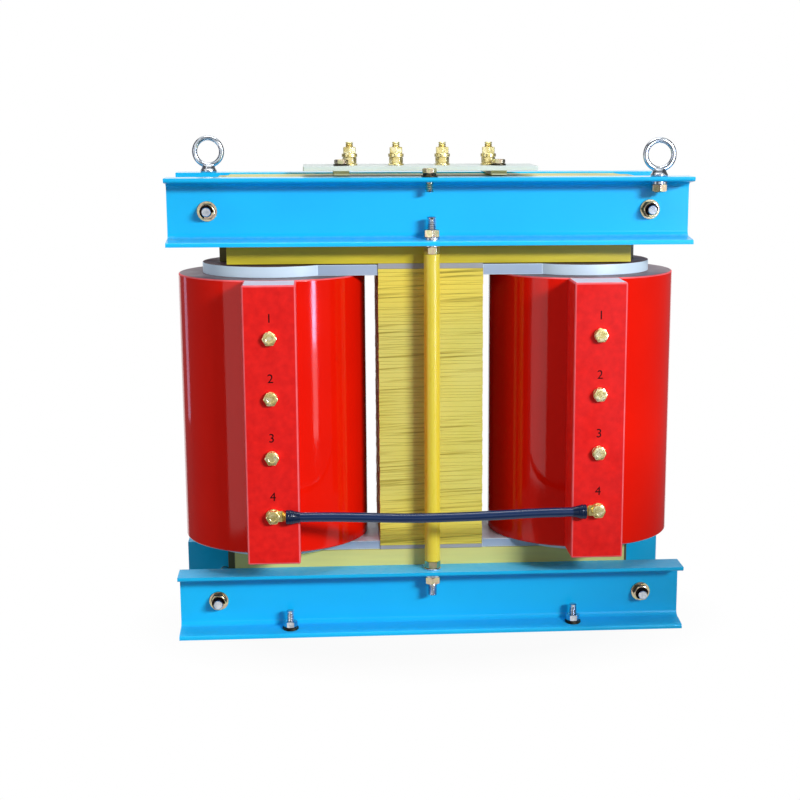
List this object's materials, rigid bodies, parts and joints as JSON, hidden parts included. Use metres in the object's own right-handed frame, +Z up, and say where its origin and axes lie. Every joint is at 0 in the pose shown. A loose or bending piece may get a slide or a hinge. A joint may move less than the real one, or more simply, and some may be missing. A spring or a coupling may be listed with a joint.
{
  "type": "dry-type power transformer",
  "caption": "Dry-type power transformer: cast-resin coils with tap pillars on a laminated three-limb core, clamped between steel channels, with a terminal board and lifting eyes.",
  "frame": {"origin": "on the floor, in the middle of the footprint without the jumper", "axes": "+Z up, +X to the right along the channels, front with the tap pillars towards -Y"},
  "size_m": [0.785, 0.3679, 0.7607],
  "materials": {
    "blue_paint": "semi-gloss enamel on hot-rolled steel",
    "yoke_paint": "yellow core paint over varnished laminations",
    "limb_paint": "yellow core paint over laminations laid flat",
    "wound_limb": "varnished electrical steel",
    "gap_pad": "pressed insulating board",
    "coil_resin": "cast epoxy resin, glossy",
    "lv_winding": "varnished winding",
    "end_block": "moulded insulating block",
    "plated_steel": "zinc plated",
    "brass": "turned brass",
    "sleeve": "insulating tube",
    "board": "epoxy glass board",
    "black_steel": "blackened steel",
    "cable": "black cable sheath",
    "boot": "heat-shrink tube"
  },
  "bodies": {
    "root": {"back_foot_bolts": "plated_steel", "back_rod_sleeve": "sleeve", "back_tie_rod": "plated_steel", "board_bolts": "black_steel", "board_straps": "yoke_paint", "bottom_back_channel": "blue_paint", "bottom_front_channel": "blue_paint", "bottom_yoke": "yoke_paint", "centre_limb": "limb_paint", "earth_bolt": "plated_steel", "front_foot_bolts": "plated_steel", "front_rod_sleeve": "sleeve", "front_tie_rod": "plated_steel", "gap_pads": "gap_pad", "jumper_cable": "cable", "left_eye_bolt": "plated_steel", "left_hv_coil": "coil_resin", "left_jumper_boot": "boot", "left_jumper_lug": "brass", "left_limb": "wound_limb", "left_lower_block": "end_block", "left_lv_winding": "lv_winding", "left_tap_bolts": "brass", "left_upper_block": "end_block", "lower_left_clamp_bolt": "plated_steel", "lower_right_clamp_bolt": "plated_steel", "lv_stud_1": "brass", "lv_stud_2": "brass", "lv_stud_3": "brass", "lv_stud_4": "brass", "right_eye_bolt": "plated_steel", "right_hv_coil": "coil_resin", "right_jumper_boot": "boot", "right_jumper_lug": "brass", "right_limb": "wound_limb", "right_lower_block": "end_block", "right_lv_winding": "lv_winding", "right_tap_bolts": "brass", "right_upper_block": "end_block", "terminal_board": "board", "top_back_channel": "blue_paint", "top_front_channel": "blue_paint", "top_yoke": "yoke_paint", "upper_left_clamp_bolt": "plated_steel", "upper_right_clamp_bolt": "plated_steel"}
  },
  "joints": []
}
